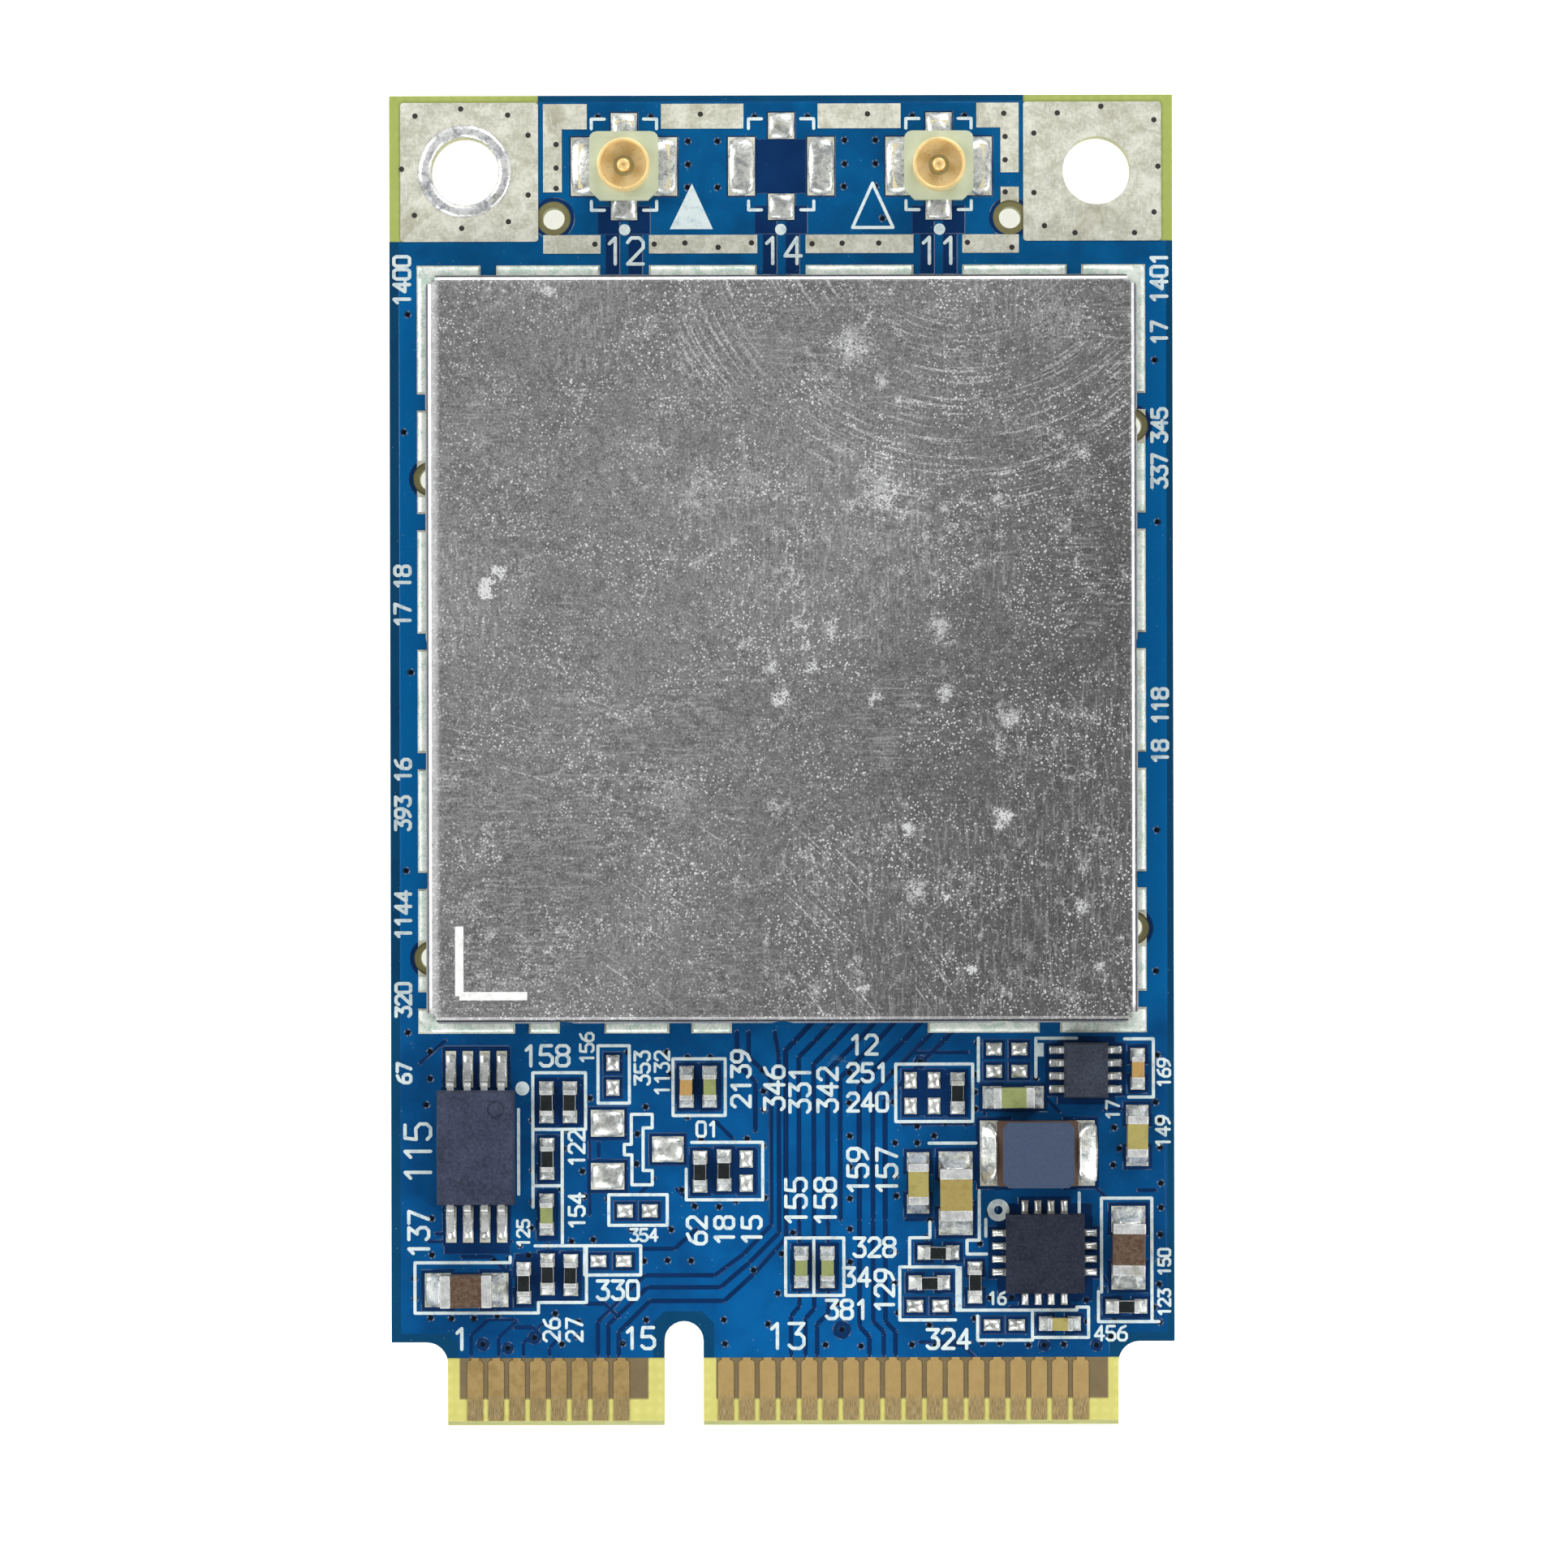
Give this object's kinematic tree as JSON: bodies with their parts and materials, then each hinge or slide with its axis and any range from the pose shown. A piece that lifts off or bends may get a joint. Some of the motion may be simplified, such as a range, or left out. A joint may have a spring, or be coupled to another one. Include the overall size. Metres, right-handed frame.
{
  "type": "wifi module",
  "caption": "Radio card for a laptop slot: blue circuit board with a keyed gold contact edge, a tin-plated shield can, coax receptacles and two screw corners.",
  "frame": {"origin": "middle of the card's underside", "axes": "+X across the card, +Y from the contact edge to the antenna end, +Z out of the component side"},
  "size_m": [0.03, 0.051, 0.0029],
  "materials": {
    "laminate": "glass-epoxy laminate, yellow-green, cut edges",
    "resist": "glossy blue solder resist with white print",
    "tinned_copper": "flat tinned copper, warm grey, satin",
    "solder": "bright mottled solder",
    "contact_gold": "gold-plated contacts with insertion scratches",
    "tinplate": "dull tin-plated sheet, speckled and scratched",
    "insulator": "cream liquid-crystal polymer",
    "shell_gold": "bright gold plating",
    "chip_resin": "dark moulding compound",
    "lead_tin": "tinned leads",
    "ferrite": "brown-grey ferrite",
    "enamelled_wire": "enamelled copper wire",
    "filter_ceramic": "white ceramic",
    "capacitor_ceramic": "tan to olive ceramic with tinned ends",
    "resistor": "black overglaze on white ceramic with tinned ends"
  },
  "bodies": {
    "root": {"board": "laminate", "solder_mask": "resist", "mounting_lands": "tinned_copper", "ground_bars": "tinned_copper", "shield_lands": "solder", "part_pads": "solder", "contacts_top": "contact_gold", "contacts_bottom": "contact_gold", "back_lands": "tinned_copper", "shield_fence": "tinplate", "shield_lid": "tinplate", "coax_a_base": "insulator", "coax_a_shell": "shell_gold", "coax_a_pin": "shell_gold", "coax_b_base": "insulator", "coax_b_shell": "shell_gold", "coax_b_pin": "shell_gold", "memory_chip": "chip_resin", "memory_leads": "lead_tin", "switch_chip": "chip_resin", "switch_leads": "lead_tin", "regulator_chip": "chip_resin", "regulator_pads": "lead_tin", "inductor_core": "ferrite", "inductor_coil": "enamelled_wire", "inductor_ends": "lead_tin", "mac_chip": "chip_resin", "radio_chip": "chip_resin", "power_amp_a": "chip_resin", "power_amp_b": "chip_resin", "crystal": "lead_tin", "rf_filters": "filter_ceramic", "inner_passives": "capacitor_ceramic", "resistor_1": "resistor", "resistor_2": "resistor", "resistor_3": "resistor", "resistor_4": "resistor", "resistor_5": "resistor", "resistor_6": "resistor", "resistor_7": "resistor", "resistor_8": "resistor", "resistor_9": "resistor", "resistor_10": "resistor", "resistor_11": "resistor", "resistor_12": "resistor", "resistor_13": "resistor", "capacitor_1": "capacitor_ceramic", "capacitor_2": "capacitor_ceramic", "capacitor_3": "capacitor_ceramic", "capacitor_4": "capacitor_ceramic", "capacitor_5": "capacitor_ceramic", "capacitor_6": "capacitor_ceramic", "capacitor_7": "capacitor_ceramic", "capacitor_8": "capacitor_ceramic", "capacitor_9": "capacitor_ceramic", "capacitor_10": "capacitor_ceramic", "capacitor_11": "capacitor_ceramic", "capacitor_12": "capacitor_ceramic", "capacitor_13": "capacitor_ceramic"}
  },
  "joints": []
}
